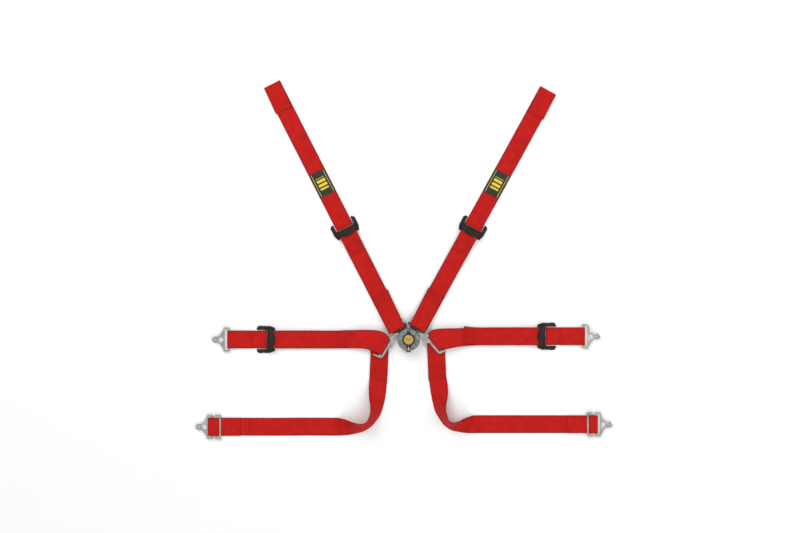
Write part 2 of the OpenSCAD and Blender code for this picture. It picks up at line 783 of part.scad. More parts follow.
back_plate();
back_plate_screws();
tongue_guide();
housing();
centre_post();
return_spring();
cam_plate();
latch_plate();
latch_springs();
knob();
knob_bezel();
centre_cap();
indicator_rivet();
pointer_insert();
for (side = [LEFT, RIGHT]) {
    name = side == LEFT ? "left_" : "right_";
    lap_reach = side == LEFT ? 31 : 32;
    shoulder_tongue(side);
    shoulder_lower_strap(side);
    shoulder_upper_strap(side);
    shoulder_label(side);
    at_shoulder_adjuster(side) adjuster_frame(24);
    at_shoulder_adjuster(side) adjuster_bar();
    at_shoulder_adjuster(side) adjuster_lever();
    lap_tongue(side);
    lap_inner_strap(side);
    lap_anchor_strap(side);
    at_lap_adjuster(side) adjuster_frame(lap_reach);
    at_lap_adjuster(side) adjuster_bar();
    at_lap_adjuster(side) adjuster_lever();
    at_lap_end(side) end_bracket();
    crotch_link(side);
    crotch_rivet(side);
    crotch_strap(side);
    at_crotch_end(side) crotch_slide();
    at_crotch_end(side) end_bracket();
}
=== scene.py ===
import json
import math

import bmesh
import bpy
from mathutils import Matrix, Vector, noise


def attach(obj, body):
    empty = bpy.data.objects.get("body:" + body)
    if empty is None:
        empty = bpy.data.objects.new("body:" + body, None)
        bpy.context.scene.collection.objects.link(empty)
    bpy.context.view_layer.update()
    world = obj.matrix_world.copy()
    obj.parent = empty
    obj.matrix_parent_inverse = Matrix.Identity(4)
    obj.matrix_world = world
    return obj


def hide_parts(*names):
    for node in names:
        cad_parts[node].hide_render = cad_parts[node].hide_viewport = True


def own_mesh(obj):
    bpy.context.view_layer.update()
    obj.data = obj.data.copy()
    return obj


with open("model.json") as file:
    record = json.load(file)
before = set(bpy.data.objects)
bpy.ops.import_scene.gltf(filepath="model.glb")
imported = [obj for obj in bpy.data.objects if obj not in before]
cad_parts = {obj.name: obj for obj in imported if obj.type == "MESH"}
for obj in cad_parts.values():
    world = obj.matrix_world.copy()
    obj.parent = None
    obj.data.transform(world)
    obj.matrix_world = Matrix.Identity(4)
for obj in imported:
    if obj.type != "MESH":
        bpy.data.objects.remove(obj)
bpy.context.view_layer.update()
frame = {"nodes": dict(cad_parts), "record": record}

MM = 0.001
SIDES = ("left", "right")
Z = Vector((0, 0, 1))

# Webbing, in millimetres
WEB_W = 50.0
WEB_T = 1.9          # drawn a little thinner than its CAD solid
LAYER_MID = 1.05     # middle of a layer that lies on the floor
LAYER_STEP = 2.1     # from one layer's middle to the next
SECOND_LAYER = LAYER_MID + LAYER_STEP
TAIL_LEVEL = 2.4     # underside of what lies over a strap's tail

JOINTS = {j["name"]: j for j in frame["record"]["behaviour"]["joints"]}


# Places taken from the frame ------------------------------------------------------

def joint_place(name):
    """A joint's position in millimetres."""
    return Vector(JOINTS[name]["pos_m"]) / MM


def outward(name):
    """The level direction whose far end lifts as the hinge opens."""
    axis = Vector(JOINTS[name]["axis"])
    return Vector((-axis.y, axis.x, 0)).normalized()


# Materials ------------------------------------------------------------------------

class Nodes:
    """A small helper for building a material's node tree."""

    def __init__(self, name):
        self.material = bpy.data.materials.new(name)
        self.material.use_nodes = True
        self.tree = self.material.node_tree
        self.shader = self.tree.nodes["Principled BSDF"]

    def add(self, kind, **settings):
        made = self.tree.nodes.new(kind)
        for key, value in settings.items():
            setattr(made, key, value)
        return made

    def link(self, start, end):
        self.tree.links.new(start, end)

    def put(self, socket, value):
        if isinstance(value, bpy.types.NodeSocket):
            self.link(value, socket)
        else:
            socket.default_value = value

    def math(self, operation, a, b=0.0, clamp=False):
        made = self.add("ShaderNodeMath", operation=operation, use_clamp=clamp)
        self.put(made.inputs[0], a)
        self.put(made.inputs[1], b)
        return made.outputs[0]

    def noise(self, vector, scale, detail=3.0, roughness=0.5):
        made = self.add("ShaderNodeTexNoise")
        made.inputs["Scale"].default_value = scale
        made.inputs["Detail"].default_value = detail
        made.inputs["Roughness"].default_value = roughness
        if vector is not None:
            self.link(vector, made.inputs["Vector"])
        return made.outputs["Fac"]

    def ramp(self, value, stops):
        made = self.add("ShaderNodeValToRGB")
        elements = made.color_ramp.elements
        while len(elements) < len(stops):
            elements.new(0.5)
        for element, (place, colour) in zip(elements, stops):
            element.position = place
            element.color = (*colour, 1)
        self.link(value, made.inputs["Fac"])
        return made.outputs["Color"]

    def mix(self, share, a, b, blend="MIX"):
        made = self.add("ShaderNodeMix", data_type="RGBA", blend_type=blend)
        self.put(made.inputs["Factor"], share)
        for socket, value in ((made.inputs["A"], a), (made.inputs["B"], b)):
            self.put(socket, value if isinstance(value, bpy.types.NodeSocket) else (*value, 1))
        return made.outputs["Result"]

    def span(self, value, low, high, to_low, to_high):
        made = self.add("ShaderNodeMapRange")
        made.inputs["From Min"].default_value = low
        made.inputs["From Max"].default_value = high
        made.inputs["To Min"].default_value = to_low
        made.inputs["To Max"].default_value = to_high
        self.link(value, made.inputs["Value"])
        return made.outputs["Result"]

    def bump(self, height, distance, strength=1.0, after=None):
        made = self.add("ShaderNodeBump")
        made.inputs["Distance"].default_value = distance
        made.inputs["Strength"].default_value = strength
        self.link(height, made.inputs["Height"])
        if after is not None:
            self.link(after, made.inputs["Normal"])
        return made.outputs["Normal"]

    def place(self):
        """Object coordinates: metres in the shared frame."""
        return self.add("ShaderNodeTexCoord").outputs["Object"]

    def finish(self, colour=None, roughness=None, normal=None, **fixed):
        if colour is not None:
            self.put(self.shader.inputs["Base Color"], colour)
        if roughness is not None:
            self.put(self.shader.inputs["Roughness"], roughness)
        if normal is not None:
            self.put(self.shader.inputs["Normal"], normal)
        for key, value in fixed.items():
            self.shader.inputs[key.replace("_", " ")].default_value = value
        return self.material


def webbing_material(name, base, dark, light, edge):
    """Woven webbing: lengthwise cords in a zigzag twill, painted shade along both long edges, soft
    blotches.
    """
    n = Nodes(name)
    web = n.add("ShaderNodeAttribute", attribute_name="web").outputs["Vector"]
    split = n.add("ShaderNodeSeparateXYZ")
    n.link(web, split.inputs[0])
    across, along = split.outputs[0], split.outputs[1]
    cords = n.math("SINE", n.math("MULTIPLY", across, 2 * math.pi / 1.5))
    folded = n.math("PINGPONG", across, 6.25)
    slant = n.math("ADD", n.math("MULTIPLY", folded, 0.9), along)
    twill = n.math("SINE", n.math("MULTIPLY", slant, 2 * math.pi / 1.9))
    weave = n.math("ADD", n.math("MULTIPLY", cords, 0.55), n.math("MULTIPLY", twill, 0.45))
    side = n.math("ABSOLUTE", across)
    # Painted shade: a dark band along both long edges, where the rounded edges turn away from the
    # light
    edge_shade = n.span(side, 21.6, 24.2, 0.0, 1.0)
    blotch = n.noise(web, 0.045, 4.0, 0.6)
    streak_map = n.add("ShaderNodeMapping")
    streak_map.inputs["Scale"].default_value = (0.55, 0.012, 1)
    n.link(web, streak_map.inputs["Vector"])
    streak = n.noise(streak_map.outputs[0], 1.0, 3.0)
    body = n.ramp(blotch, [(0.3, dark), (0.5, base), (0.72, light)])
    streaked = n.mix(n.span(streak, 0.35, 0.7, 0.0, 0.55), body, dark)
    groove = n.span(weave, -0.9, 0.3, 0.38, 0.0)
    woven = n.mix(groove, streaked, edge)
    colour = n.mix(n.math("MULTIPLY", edge_shade, 0.85), woven, edge)
    fuzz = n.noise(web, 2.6, 2.0)
    height = n.math("ADD", weave, n.math("MULTIPLY", fuzz, 0.5))
    normal = n.bump(height, 0.00016, 0.8)
    rough = n.span(blotch, 0.2, 0.8, 0.52, 0.68)
    return n.finish(colour, rough, normal, Specular_IOR_Level=0.12)


def thread_material(name, colour, shade):
    n = Nodes(name)
    grain = n.noise(n.place(), 900.0, 2.0)
    return n.finish(n.ramp(grain, [(0.35, shade), (0.65, colour)]), 0.6,
                    n.bump(grain, 0.0001, 0.5), Specular_IOR_Level=0.15)


def metal_material(name, base, dark, rough, scratch=0.35, metallic=1.0, painted_shade_radius=0.0):
    """Plated or cast metal with cloudy tone, fine scratches and duller patches. The last argument is
    the radius in metres round the buckle inside which the colour is darkened as painted shade."""
    n = Nodes(name)
    place = n.place()
    cloud = n.noise(place, 55.0, 4.0, 0.6)
    line_map = n.add("ShaderNodeMapping")
    line_map.inputs["Scale"].default_value = (220, 2600, 900)
    line_map.inputs["Rotation"].default_value = (0, 0, 0.6)
    n.link(place, line_map.inputs["Vector"])
    lines = n.noise(line_map.outputs[0], 1.0, 2.0)
    colour = n.ramp(cloud, [(0.3, dark), (0.62, base)])
    # Painted shade: inside this radius round the buckle the colour fades to near black, standing in
    # for the shade the knob casts on the tongues
    if painted_shade_radius:
        flat = n.add("ShaderNodeMapping")
        flat.inputs["Scale"].default_value = (1, 1, 0)
        n.link(place, flat.inputs["Vector"])
        reach = n.add("ShaderNodeVectorMath", operation="LENGTH")
        n.link(flat.outputs[0], reach.inputs[0])
        share = n.span(reach.outputs["Value"], painted_shade_radius, painted_shade_radius + 0.005, 0.93, 0.0)
        colour = n.mix(share, colour, (0.022, 0.012, 0.010))
    roughness = n.math("ADD", n.span(cloud, 0.3, 0.7, rough + 0.08, rough - 0.05),
                       n.math("MULTIPLY", n.span(lines, 0.55, 0.75, 0.0, 1.0), scratch * 0.3))
    return n.finish(colour, roughness, n.bump(lines, 0.00004, scratch), Metallic=metallic)


def black_material(name, base):
    """Black oxide finish, greyer where it has been handled."""
    n = Nodes(name)
    place = n.place()
    cloud = n.noise(place, 160.0, 5.0, 0.7)
    grain = n.noise(place, 1100.0, 2.0)
    colour = n.ramp(cloud, [(0.35, base), (0.62, [c * 1.5 for c in base]),
                            (0.74, [c * 3.2 for c in base])])
    return n.finish(colour, n.span(cloud, 0.3, 0.7, 0.34, 0.5), n.bump(grain, 0.00005, 0.5),
                    Metallic=0.35, Specular_IOR_Level=0.35)


def knob_material(name, base, dark):
    """Cast knob: speckled metal, black recesses either side of the marks, and a band of
    short engraved ticks round its lower half."""
    n = Nodes(name)
    place = n.place()
    split = n.add("ShaderNodeSeparateXYZ")
    n.link(place, split.inputs[0])
    x = n.math("MULTIPLY", split.outputs[0], 1000.0)
    y = n.math("MULTIPLY", split.outputs[1], 1000.0)
    z = n.math("MULTIPLY", split.outputs[2], 1000.0)
    side = n.math("ABSOLUTE", x)
    radius = n.math("SQRT", n.math("ADD", n.math("MULTIPLY", x, x), n.math("MULTIPLY", y, y)))

    def below(value, limit):
        return n.math("LESS_THAN", value, limit)

    def above(value, limit):
        return n.math("GREATER_THAN", value, limit)

    def both(*masks):
        made = masks[0]
        for mask in masks[1:]:
            made = n.math("MULTIPLY", made, mask)
        return made

    notch_half = n.math("SUBTRACT", 9.6, n.math("MULTIPLY", y, 0.238))
    notch = both(above(y, 16.0), below(y, 28.9), below(side, notch_half))
    wedge_out = n.math("SUBTRACT", 18.0, n.math("MULTIPLY", n.math("ABSOLUTE", y), 0.6))
    wedge = both(below(y, -17.0), above(y, -24.5), below(side, wedge_out))
    flank = both(below(y, -20.0), below(n.math("ABSOLUTE", n.math("SUBTRACT", side,
                 n.math("SUBTRACT", n.math("MULTIPLY", n.math("ABSOLUTE", y), 0.22), 2.6))), 0.75))
    # Painted shade: the knob's side, below 28.2 mm, is darkened
    skirt = below(z, 28.2)
    black = n.math("MAXIMUM", n.math("MAXIMUM", notch, wedge), n.math("MULTIPLY", flank, 0.7))
    angle = n.math("ARCTAN2", y, x)
    ticks = n.math("SINE", n.math("MULTIPLY", angle, 64.0))
    breaks = n.noise(place, 420.0, 2.0)
    band = both(above(radius, 20.6), below(radius, 25.4), below(y, -5.0))
    engraved = both(band, above(n.math("ADD", ticks, n.math("MULTIPLY", breaks, 1.6)), 0.95))
    cloud = n.noise(place, 150.0, 4.0, 0.6)
    metal = n.ramp(cloud, [(0.34, dark), (0.62, base)])
    marked = n.mix(n.math("MULTIPLY", engraved, 0.7), metal, [c * 0.35 for c in dark])
    shaded = n.mix(n.math("MULTIPLY", skirt, 0.6), marked, [c * 0.3 for c in dark])
    colour = n.mix(black, shaded, (0.012, 0.011, 0.009))
    rough = n.math("ADD", n.span(cloud, 0.3, 0.7, 0.46, 0.3), n.math("MULTIPLY", black, 0.2))
    metallic = n.math("SUBTRACT", 1.0, n.math("MULTIPLY", black, 0.9))
    n.put(n.shader.inputs["Metallic"], metallic)
    height = n.math("SUBTRACT", n.noise(place, 900.0, 3.0), n.math("MULTIPLY", engraved, 2.0))
    return n.finish(colour, rough, n.bump(height, 0.0001, 0.6))


def cap_material(name, base, dark):
    """Moulded cap: a plain darker chevron in the middle and colour darker towards the rim."""
    n = Nodes(name)
    place = n.place()
    split = n.add("ShaderNodeSeparateXYZ")
    n.link(place, split.inputs[0])
    x = n.math("ABSOLUTE", n.math("MULTIPLY", split.outputs[0], 1000.0))
    y = n.math("MULTIPLY", split.outputs[1], 1000.0)
    radius = n.math("SQRT", n.math("ADD", n.math("MULTIPLY", x, x), n.math("MULTIPLY", y, y)))
    slope = n.math("SUBTRACT", y, n.math("MULTIPLY", x, 0.75))
    chevron = n.math("MULTIPLY", n.math("LESS_THAN", n.math("ABSOLUTE", n.math("ADD", slope, 1.5)),
                                        2.1), n.math("LESS_THAN", x, 6.2))
    cloud = n.noise(place, 150.0, 4.0, 0.65)
    tone = n.ramp(cloud, [(0.32, [c * 0.72 for c in base]), (0.66, base)])
    # Colour darker towards the rim
    rim = n.span(radius, 9.5, 13.0, 0.0, 0.45)
    colour = n.mix(n.math("MULTIPLY", chevron, 0.8), n.mix(rim, tone, dark), dark)
    return n.finish(colour, n.span(cloud, 0.3, 0.7, 0.28, 0.42),
                    n.bump(chevron, 0.0002, 0.5), Coat_Weight=0.3)


def moulded_material(name, base, rough):
    """Plain moulded plastic with a fine grain."""
    n = Nodes(name)
    place = n.place()
    grain = n.noise(place, 420.0, 3.0)
    cloud = n.noise(place, 60.0, 2.0)
    tone = n.ramp(cloud, [(0.3, [c * 0.86 for c in base]), (0.7, base)])
    return n.finish(tone, n.span(cloud, 0.3, 0.7, rough - 0.04, rough + 0.06),
                    n.bump(grain, 0.00005, 0.5))


RED = (0.57, 0.009, 0.006)
RED_DARK = (0.44, 0.008, 0.005)
RED_LIGHT = (0.66, 0.014, 0.012)
# Dark red for the weave's grooves and for the painted shade along the webbing's edges
RED_EDGE = (0.17, 0.003, 0.004)

MATERIALS = {
    "webbing": webbing_material("webbing_red", RED, RED_DARK, RED_LIGHT, RED_EDGE),
    "thread": thread_material("thread_red", (0.36, 0.008, 0.008), (0.2, 0.004, 0.004)),
    "plated_steel": metal_material("plated_steel", (0.52, 0.52, 0.49), (0.28, 0.29, 0.27), 0.26),
    # tongue_steel carries painted shade round the buckle
    "tongue_steel": metal_material("tongue_steel", (0.52, 0.52, 0.49), (0.28, 0.29, 0.27), 0.3,
                                   painted_shade_radius=0.046),
    "inner_steel": metal_material("inner_steel", (0.56, 0.56, 0.55), (0.4, 0.4, 0.4), 0.34),
    "spring": metal_material("spring_steel", (0.5, 0.48, 0.42), (0.3, 0.28, 0.25), 0.3),
    "knob_metal": knob_material("cast_aluminium", (0.34, 0.355, 0.335), (0.15, 0.16, 0.15)),
    "housing_grey": metal_material("housing_grey", (0.11, 0.11, 0.095), (0.045, 0.046, 0.04),
                                   0.45, metallic=0.6),
    "screw_black": metal_material("screw_black", (0.09, 0.09, 0.09), (0.04, 0.04, 0.04), 0.4),
    "adjuster_black": black_material("adjuster_black", (0.015, 0.010, 0.008)),
    "adjuster_bar": metal_material("adjuster_bar", (0.15, 0.12, 0.10), (0.07, 0.055, 0.047), 0.42),
    "bezel_black": moulded_material("bezel_black", (0.018, 0.018, 0.018), 0.4),
    "cap_yellow": cap_material("cap_yellow", (0.60, 0.39, 0.055), (0.21, 0.115, 0.02)),
    "pointer_grey": moulded_material("pointer_grey", (0.42, 0.43, 0.39), 0.45),
}


# Mesh helpers ---------------------------------------------------------------------

def make_object(name, mesh, material):
    made = bpy.data.objects.new(name, mesh)
    bpy.context.scene.collection.objects.link(made)
    mesh.materials.append(material)
    return made


def smooth_by_angle(mesh, degrees):
    """Smooth shading with sharp edges where faces meet at more than the angle."""
    work = bmesh.new()
    work.from_mesh(mesh)
    limit = math.radians(degrees)
    for face in work.faces:
        face.smooth = True
    for edge in work.edges:
        edge.smooth = len(edge.link_faces) == 2 and edge.calc_face_angle(0) < limit
    work.to_mesh(mesh)
    work.free()


def refine(node, body, slot, bevel=0.5, segments=2, material=None, angle=28):
    """A copy of a CAD node's shape with clean faces and rounded edges, in its place."""
    source = frame["nodes"][node]
    work = bmesh.new()
    work.from_mesh(source.data)
    bmesh.ops.remove_doubles(work, verts=work.verts, dist=2e-6)
    bmesh.ops.dissolve_limit(work, angle_limit=math.radians(1.0), verts=work.verts,
                             edges=work.edges)
    sharp = [e for e in work.edges
             if len(e.link_faces) == 2 and e.calc_face_angle(0) > math.radians(angle)]
    bmesh.ops.bevel(work, geom=sharp, offset=bevel * MM, segments=segments, affect="EDGES",
                    profile=0.5, clamp_overlap=True)
    bmesh.ops.recalc_face_normals(work, faces=work.faces)
    mesh = bpy.data.meshes.new(node + "_look")
    work.to_mesh(mesh)
    work.free()
    piece = make_object(node + "_look", mesh, material or MATERIALS[slot])
    smooth_by_angle(mesh, 35)
    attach(piece, body)
    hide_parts(node)
    return piece


def arc(centre, radius, start, end, steps=12):
    """Points of an arc in a strap's edge view, angles in degrees."""
    return [Vector((centre[0] + radius * math.cos(math.radians(a)),
                    centre[1] + radius * math.sin(math.radians(a))))
            for a in (start + (end - start) * i / steps for i in range(steps + 1))]


# Across the webbing: place from edge to edge, height over half the thickness
SECTION = [(-1.0, 0.0), (-0.99, 0.6), (-0.965, 0.92), (-0.92, 1.0)]
INNER_COLUMNS = 13
SECTION += [(-0.92 + 1.84 * i / (INNER_COLUMNS + 1), 1.0) for i in range(1, INNER_COLUMNS + 1)]
SECTION += [(-a, b) for a, b in reversed(SECTION[:4])]
SECTION += [(a, -b) for a, b in reversed(SECTION[1:-1])]


class Strap:
    """Webbing along rows of (middle, half width vector), with stitches laid on top of it."""

    def __init__(self, name, rows, wobble=0.35, seed=0.0, thick=WEB_T):
        self.name = name
        self.middles = [r[0] for r in rows]
        self.halves = [r[1] for r in rows]
        self.along = [0.0]
        for a, b in zip(self.middles, self.middles[1:]):
            self.along.append(self.along[-1] + (b - a).length)
        self.length = self.along[-1]
        self.normals = []
        last = len(rows) - 1
        for i in range(last + 1):
            forward = self.middles[min(i + 1, last)] - self.middles[max(i - 1, 0)]
            self.normals.append(forward.cross(self.halves[i]).normalized())
        self.thick = thick
        self.wobble = wobble
        self.seed = seed

    def shift(self, i, a):
        """Small waves of real cloth: sideways at the edges, up and down over the face."""
        s = self.along[i] * 0.011
        lift = noise.noise(Vector((s, a * 0.8, self.seed))) * self.wobble
        side = noise.noise(Vector((s * 0.8, 7.0 + self.seed, 0.0))) * self.wobble * 1.6
        return lift, side

    def point(self, i, a, b):
        lift, side = self.shift(i, a)
        half = self.halves[i]
        place = self.middles[i] + half * a + half.normalized() * side
        return place + self.normals[i] * (lift * 0.5 + b * self.thick / 2)

    def build(self, material):
        count = len(SECTION)
        verts = []
        web = []
        for i in range(len(self.middles)):
            for a, b in SECTION:
                p = self.point(i, a, b)
                verts.append((p.x * MM, p.y * MM, max(p.z, 0.0) * MM))
                web.append((a * WEB_W / 2, self.along[i], b * 0.5))
        faces = []
        for i in range(len(self.middles) - 1):
            for j in range(count):
                a, b = i * count + j, i * count + (j + 1) % count
                faces.append((a, b, b + count, a + count))
        last = (len(self.middles) - 1) * count
        faces.append(tuple(range(count - 1, -1, -1)))
        faces.append(tuple(last + j for j in range(count)))
        mesh = bpy.data.meshes.new(self.name)
        mesh.from_pydata(verts, [], faces)
        mesh.update()
        data = mesh.attributes.new("web", "FLOAT_VECTOR", "POINT").data
        for k, value in enumerate(web):
            data[k].vector = value
        work = bmesh.new()
        work.from_mesh(mesh)
        bmesh.ops.recalc_face_normals(work, faces=work.faces)
        work.to_mesh(mesh)
        work.free()
        self.piece = make_object(self.name, mesh, material)
        smooth_by_angle(mesh, 50)
        return self.piece

    def at(self, along, a):
        """Place, forward, sideways and upward directions on the upper face."""
        i = 0
        while i < len(self.along) - 2 and self.along[i + 1] < along:
            i += 1
        f = (along - self.along[i]) / (self.along[i + 1] - self.along[i])
        here = self.point(i, a, 1.0).lerp(self.point(i + 1, a, 1.0), min(max(f, 0), 1))
        forward = (self.middles[i + 1] - self.middles[i]).normalized()
        up = self.normals[i].lerp(self.normals[i + 1], min(max(f, 0), 1)).normalized()
        return here, forward, self.halves[i].normalized(), up


def stitch_runs(run, pitch=3.4, gap=0.9):
    """Splits a run of (along, across) points, in millimetres, into single stitches."""
    made = []
    for p, q in zip(run, run[1:]):
        p, q = Vector(p), Vector(q)
        count = max(1, round((q - p).length / pitch))
        for k in range(count):
            a, b = p.lerp(q, k / count), p.lerp(q, (k + 1) / count)
            trim = (b - a).normalized() * gap / 2
            made.append((a + trim, b - trim))
    return made


def sew(strap, runs, face=1, thread=0.42, lift=0.12):
    """Thread laid along the runs on the strap's upper (1) or under (-1) face."""
    ring = 6
    work = bmesh.new()
    for run in runs:
        for a, b in stitch_runs(run):
            marks = []
            for share, size in ((0, 0.35), (0.18, 0.95), (0.5, 1.0), (0.82, 0.95), (1, 0.35)):
                spot = a.lerp(b, share)
                here, forward, side, up = strap.at(spot.x, spot.y / (WEB_W / 2))
                if face < 0:
                    here = here - up * strap.thick
                    up = -up
                marks.append((here + up * lift * (1.4 * size - 0.9), size, forward, side, up))
            line = (b - a).normalized()
            rows = []
            for here, size, forward, side, up in marks:
                tangent = forward * line.x + side * line.y
                flat = tangent.cross(up).normalized()
                row = []
                for k in range(ring):
                    turn = 2 * math.pi * k / ring
                    out = flat * math.cos(turn) * 1.15 + up * math.sin(turn) * 0.8
                    row.append(work.verts.new((here + out * thread * size) * MM))
                rows.append(row)
            for p, q in zip(rows, rows[1:]):
                for k in range(ring):
                    work.faces.new((p[k], p[(k + 1) % ring], q[(k + 1) % ring], q[k]))
            work.faces.new(rows[0][::-1])
            work.faces.new(rows[-1])
    bmesh.ops.recalc_face_normals(work, faces=work.faces)
    mesh = bpy.data.meshes.new(strap.name + "_stitching")
    work.to_mesh(mesh)
    work.free()
    made = make_object(strap.name + "_stitching", mesh, MATERIALS["thread"])
    smooth_by_angle(mesh, 60)
    return made


def block_runs(start, end, margin=5.0, waves=4, rows=3):
    """A sewn block: a rectangle round rows of zigzag, from start to end along the strap."""
    half = WEB_W / 2 - margin
    box = [(start, -half), (end, -half), (end, half), (start, half), (start, -half)]
    runs = [box]
    width = 2 * half / rows
    for r in range(rows):
        low = -half + r * width
        run = []
        for k in range(2 * waves + 1):
            along = start + (end - start) * k / (2 * waves)
            run.append((along, low + (width if k % 2 else 0)))
        runs.append(run)
    return runs


def finish_strap(strap, body, replaced, runs=(), under=()):
    """Builds the strap and its stitching, attaches them to the body and hides the CAD part they
    replace.
    """
    piece = strap.build(MATERIALS["webbing"])
    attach(piece, body)
    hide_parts(replaced)
    for share, face in ((runs, 1), (under, -1)):
        if share:
            thread = sew(strap, share, face)
            if face < 0:
                thread.name = strap.name + "_stitching_under"
            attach(thread, body)
    return piece


# Straps ---------------------------------------------------------------------------

def rows_of(origin, direction, path, half=WEB_W / 2, offset=None):
    """Rows for webbing seen from its edge: (distance, height) pairs, with a sideways
    offset where the webbing is laid askew."""
    side = Z.cross(direction).normalized()
    made = []
    for k, p in enumerate(path):
        aside = side * offset(p[0]) if offset else Vector()
        made.append([origin + direction * p[0] + Z * p[1] + aside, side * half])
    return made


def subdivide(rows, step):
    """Extra rows where two neighbours lie further apart than the step."""
    made = [rows[0]]
    for a, b in zip(rows, rows[1:]):
        parts = max(1, math.ceil((b[0] - a[0]).length / step))
        for k in range(1, parts + 1):
            made.append([p.lerp(q, k / parts) for p, q in zip(a, b)])
    return made


def soften(rows, rounds=2):
    """Rounds the corners of a run of rows."""
    for _ in range(rounds):
        cut = [rows[0]]
        for a, b in zip(rows, rows[1:]):
            cut.append([p.lerp(q, 0.25) for p, q in zip(a, b)])
            cut.append([p.lerp(q, 0.75) for p, q in zip(a, b)])
        rows = cut + [rows[-1]]
    return rows


LOOP = {"tongue": 2.85, "frame": 3.35, "end": 3.15}
LEVEL = {"tongue": 12.1, "frame": 6.8, "end": 4.2, "link": 3.95}
UNDER = TAIL_LEVEL + 1.05          # middle of the layer just above the tail
OVER = UNDER + LAYER_STEP

SHOULDER_ADJUSTER = 318
SHOULDER_SEAM = 112
SHOULDER_FOLD = {"left": 775, "right": 762}
FRAME_BAR = -17                    # from the adjuster's cross bar


def shoulder_lower(side):
    bar = joint_place(side + "_shoulder_swing")
    bar.z = 0
    u = outward(side + "_shoulder_swing")
    far = SHOULDER_ADJUSTER + FRAME_BAR
    skew = -3.2 if side == "left" else 3.2

    def askew(at):
        return skew * (at / SHOULDER_SEAM) ** 2

    top = soften(rows_of(bar, u, [(SHOULDER_SEAM, OVER), (75, OVER), (20, 11.1), (3, 14.8)],
                         offset=askew))
    fold = rows_of(bar, u, arc((0, LEVEL["tongue"]), LOOP["tongue"], 90, 270))
    main = soften(rows_of(bar, u, [(3, 9.3), (75, UNDER), (115, UNDER), (far - 92, UNDER),
                                   (far - 68, OVER), (far - 22, OVER), (far - 4, 10.0)]))
    end = rows_of(bar, u, arc((far, LEVEL["frame"]), LOOP["frame"], 90, -90))
    back = rows_of(bar, u, [(far - 70, UNDER)])
    rows = subdivide(top + fold + main + end + back, 4.0)
    strap = Strap(side + "_shoulder_lower_webbing", rows, seed=3.0 if side == "left" else 11.0)
    block = block_runs(3, 31)
    near_end = strap.length - 70 - 10
    finish_strap(strap, side + "_shoulder_strap", side + "_shoulder_lower_strap", under=block,
                 runs=block_runs(near_end - 62, near_end - 28))


def shoulder_upper(side):
    bar = joint_place(side + "_shoulder_swing")
    bar.z = 0
    u = outward(side + "_shoulder_swing")
    top = SHOULDER_FOLD[side]
    skew = 3.0 if side == "left" else -2.5
    tail = SHOULDER_ADJUSTER - 150

    def askew(at):
        return skew * (top - at) / 80

    main = rows_of(bar, u, [(tail, LAYER_MID), (top - 2, LAYER_MID)])
    fold = rows_of(bar, u, arc((top - 2.1, 2.1), 1.05, -90, 90, 8))
    back = rows_of(bar, u, [(top - 80 * k / 4, SECOND_LAYER) for k in range(1, 5)], offset=askew)
    rows = subdivide(main + fold + back, 5.0)
    strap = Strap(side + "_shoulder_upper_webbing", rows, seed=5.0 if side == "left" else 14.0)
    finish_strap(strap, side + "_shoulder_upper", side + "_shoulder_upper_strap",
                 runs=block_runs(strap.length - 40, strap.length - 4))


def lap_level(x, low_x):
    """Underside of the inner lap strap over the run down from the tongue."""
    t = min(max((abs(x) - abs(low_x) + 56) / 56, 0.0), 1.0)
    t = t * t * (3 - 2 * t)
    return 10.0 + (TAIL_LEVEL - 10.0) * t


# The inner lap strap's two long edges from the tongue outwards
LAP_UPPER = {
    "left": [(-54.8, 2.2), (-57.5, 8), (-63, 15.5), (-82, 25.5), (-122, 26.8), (-150, 26.0),
             (-185, 24.6)],
    "right": [(57.6, 10.8), (58.2, 17), (63.5, 25.5), (84, 30), (120, 30.8), (156, 31.5),
              (190, 32.5)],
}
LAP_LOWER = {
    "left": [(-80.9, -40.9), (-88, -39.5), (-100, -34), (-111, -29.5), (-124, -26),
             (-150, -25.3), (-185, -26)],
    "right": [(90.1, -28.2), (99, -28), (106, -27.5), (114, -26), (130, -22.5), (158, -19),
              (190, -17.2)],
}
LAP_SEAM = {"left": -173, "right": 156}
LAP_LOW_X = {"left": -178, "right": 190}
LAP_Y = {"left": -1, "right": 8}
LAP_SKEW = {"left": 1.6, "right": 4.2}
LAP_FOLD_HALF = 24.2               # half width where the webbing turns round the bar
LAP_FOLD_TOP, LAP_FOLD_LOW = 14.2, 10.0      # middles of the layers beside the fold


